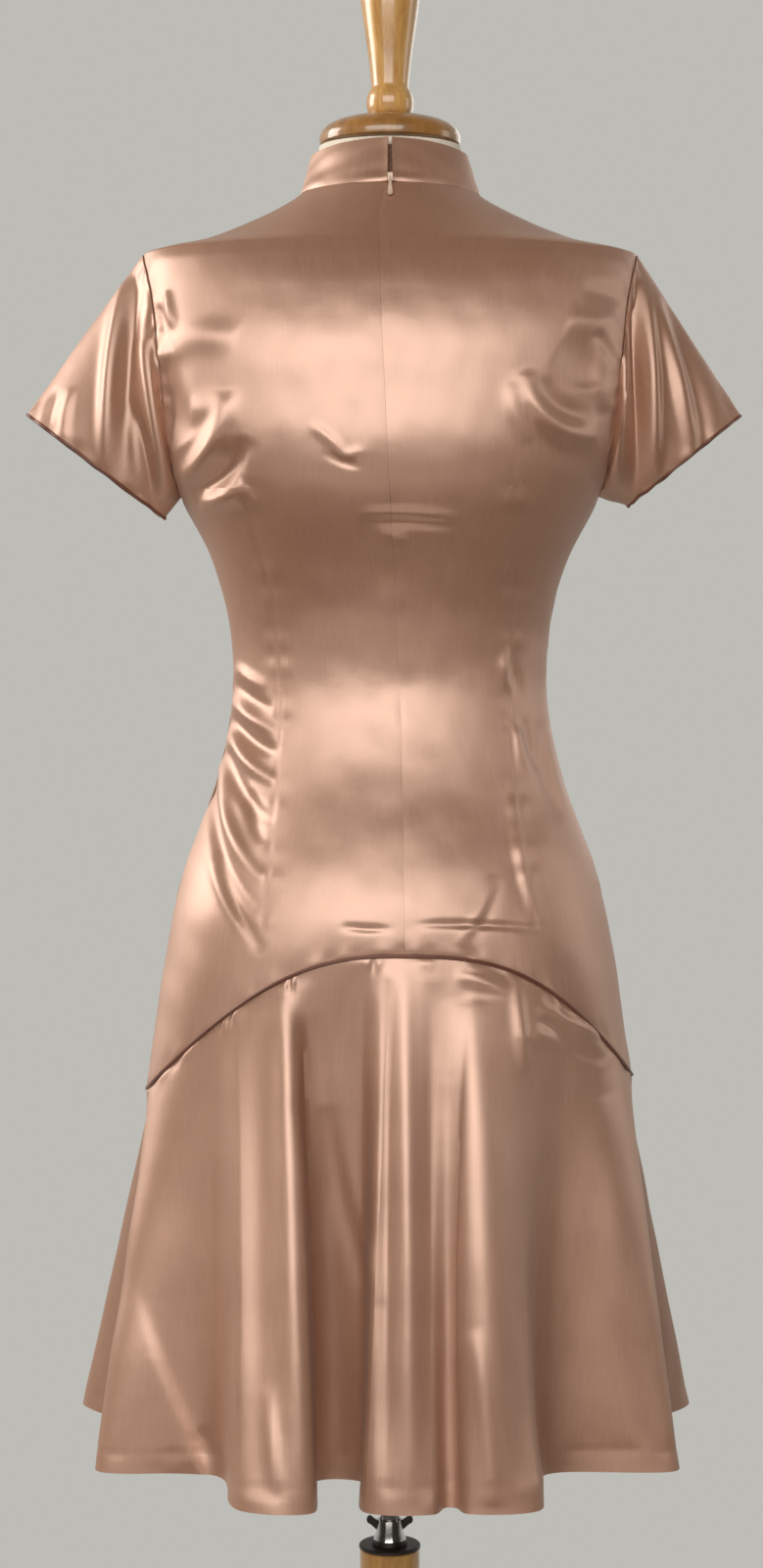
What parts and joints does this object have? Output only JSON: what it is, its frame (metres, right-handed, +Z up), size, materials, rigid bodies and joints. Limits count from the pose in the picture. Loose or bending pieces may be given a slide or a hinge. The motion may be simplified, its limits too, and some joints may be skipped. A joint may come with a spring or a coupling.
{
  "type": "cheongsam dress on a dress form",
  "caption": "Short-sleeved satin cheongsam dress with a standing collar, back zip and flared folded skirt, standing on a limbless dress form with a wooden tripod stand.",
  "frame": {"origin": "on the floor under the pole's axis, which is the middle of the whole object", "axes": "+Z up the pole, -Y out of the front of the dress, +Y out of its back, +X towards the wearer's left"},
  "size_m": [0.5809, 0.4721, 1.5877],
  "materials": {
    "satin": "glossy rose-gold satin",
    "piping": "dark brown satin cord",
    "zip_tape": "matte woven tape",
    "zip_metal": "enamelled to match the satin",
    "jersey": "matte off-white jersey",
    "wood": "clear varnished",
    "chrome": "polished",
    "black_metal": "satin black"
  },
  "bodies": {
    "base": {"hub": "wood", "hub_cap": "black_metal", "leg_front": "wood", "leg_back_left": "wood", "leg_back_right": "wood"},
    "clamp": {"pole_clamp": "black_metal"},
    "mast": {"pole": "chrome"},
    "form": {"torso": "jersey", "neck_cap": "wood", "finial": "wood", "back_left": "satin", "back_right": "satin", "front": "satin", "sleeve_left": "satin", "sleeve_right": "satin", "collar_left": "satin", "collar_right": "satin", "skirt_back_left": "satin", "skirt_back_right": "satin", "skirt_front": "satin", "seam_piping": "piping", "sleeve_piping_left": "piping", "sleeve_piping_right": "piping", "zip_tape": "zip_tape", "zip_slider": "zip_metal"},
    "pull_tab": {"zip_pull": "zip_metal"}
  },
  "joints": [
    {"name": "clamp_turn", "type": "hinge", "parent": "base", "child": "clamp", "pos_m": [0, 0, 0.33], "axis": [0, 0, 1], "range_deg": [-90, 0]},
    {"name": "height_slide", "type": "slide", "parent": "base", "child": "mast", "axis": [0, 0, 1], "range_m": [-0.05, 0.15]},
    {"name": "form_swivel", "type": "hinge", "parent": "mast", "child": "form", "pos_m": [0, 0, 0.7], "axis": [0, 0, 1], "continuous": true},
    {"name": "pull_tab_swing", "type": "hinge", "parent": "form", "child": "pull_tab", "pos_m": [0, 0.0654, 1.4225], "axis": [1, 0, 0], "range_deg": [0, 150]}
  ]
}
